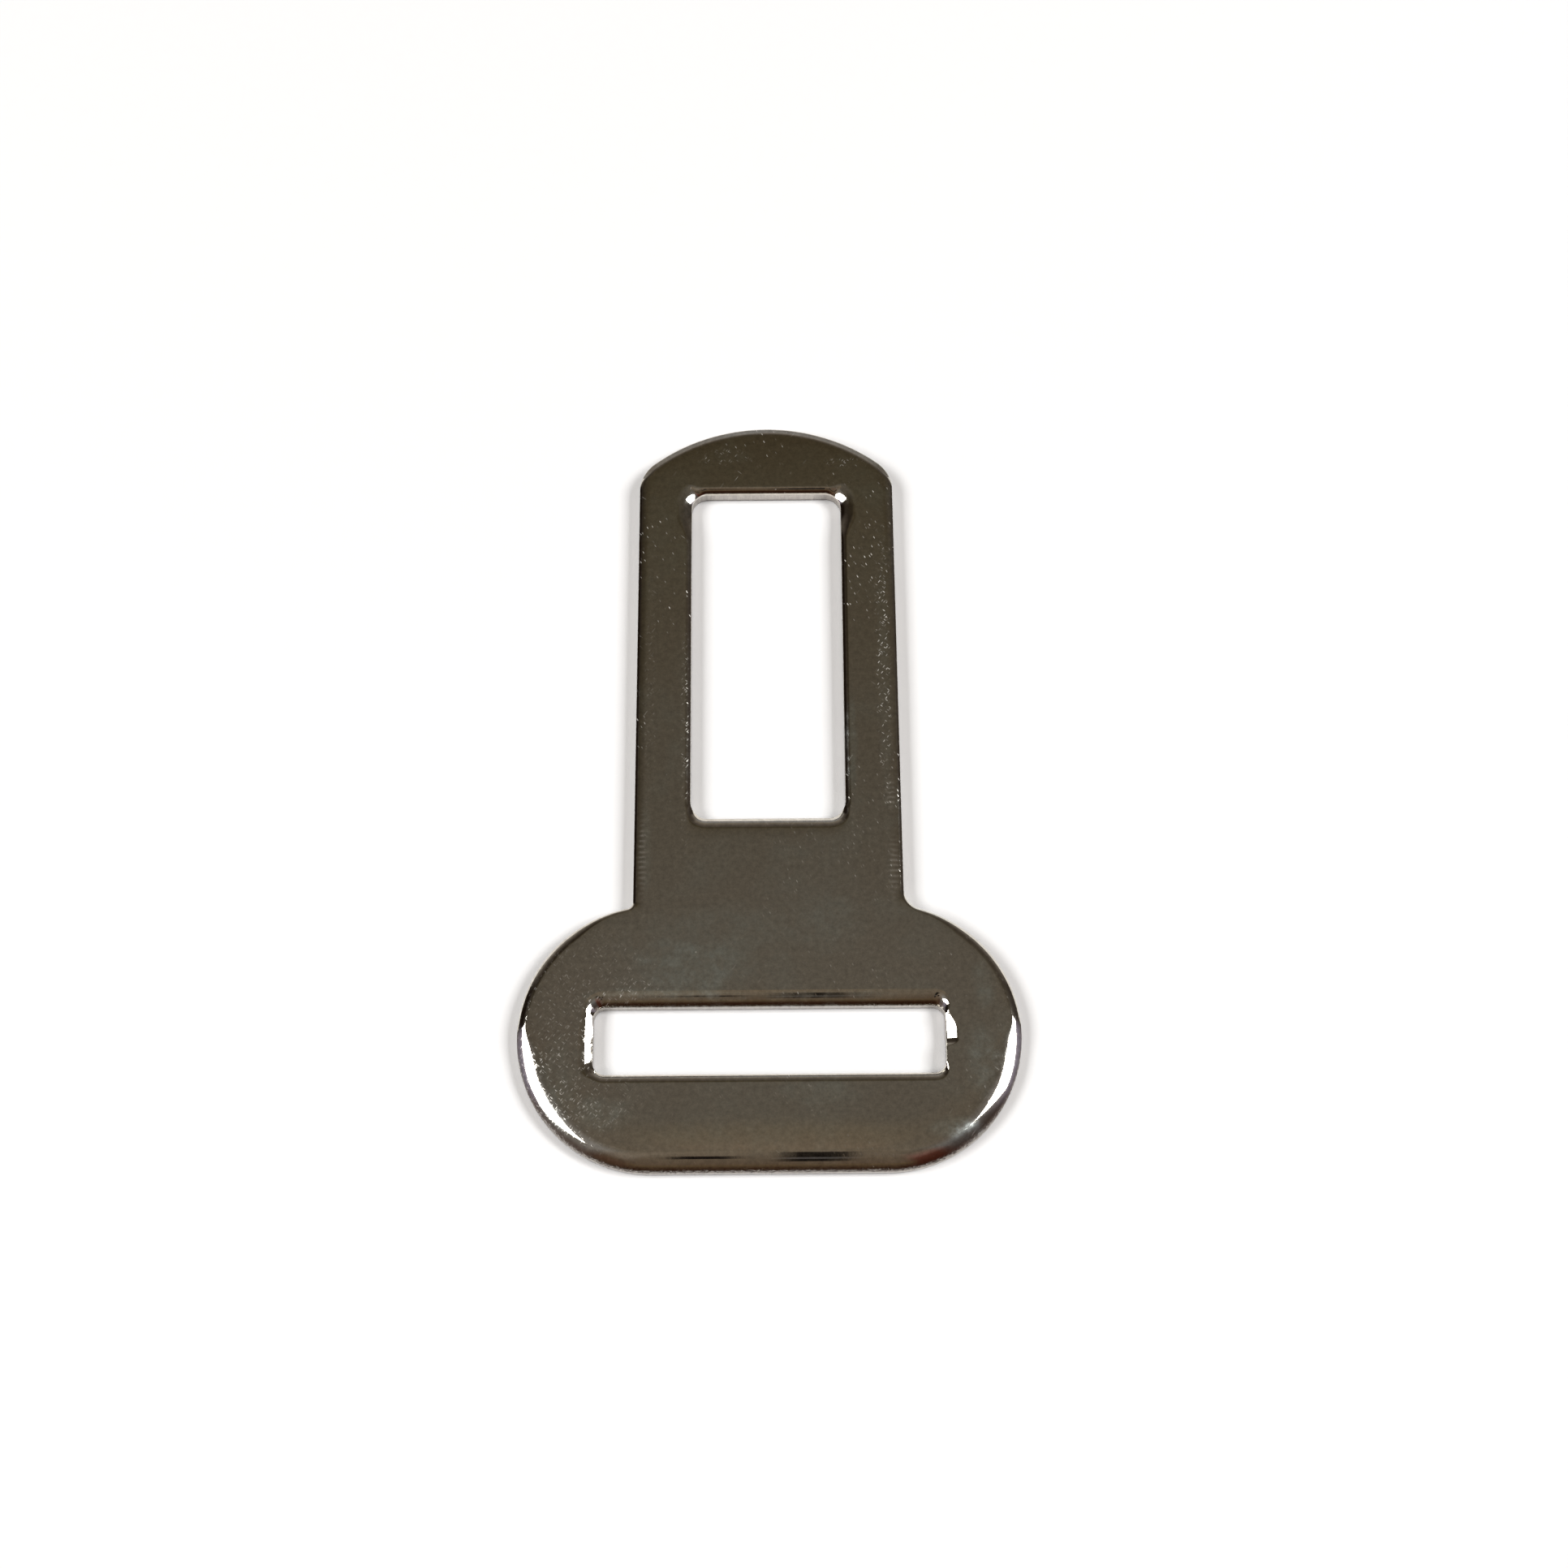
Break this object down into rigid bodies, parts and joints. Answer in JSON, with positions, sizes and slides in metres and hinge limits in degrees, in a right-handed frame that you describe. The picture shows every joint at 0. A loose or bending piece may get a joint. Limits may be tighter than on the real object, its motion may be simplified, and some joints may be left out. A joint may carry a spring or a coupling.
{
  "type": "buckle tongue plate",
  "caption": "Flat bright metal tongue for a latch buckle: a blade with a long latch window and a round tip, widening to an oval head with a slot for a webbing strap.",
  "frame": {"origin": "middle of the plate's length and width, at the back face that it lies on", "axes": "+Z out of the polished front face, +Y along the blade to its round tip, +X across the plate, to the right when the front is seen with the tip up"},
  "size_m": [0.0404, 0.0644, 0.0018],
  "materials": {
    "bright_nickel": "bright nickel plate over a tumbled steel pressing, with fine handling scratches and faint haze"
  },
  "bodies": {
    "root": {"tongue_plate": "bright_nickel"}
  },
  "joints": []
}
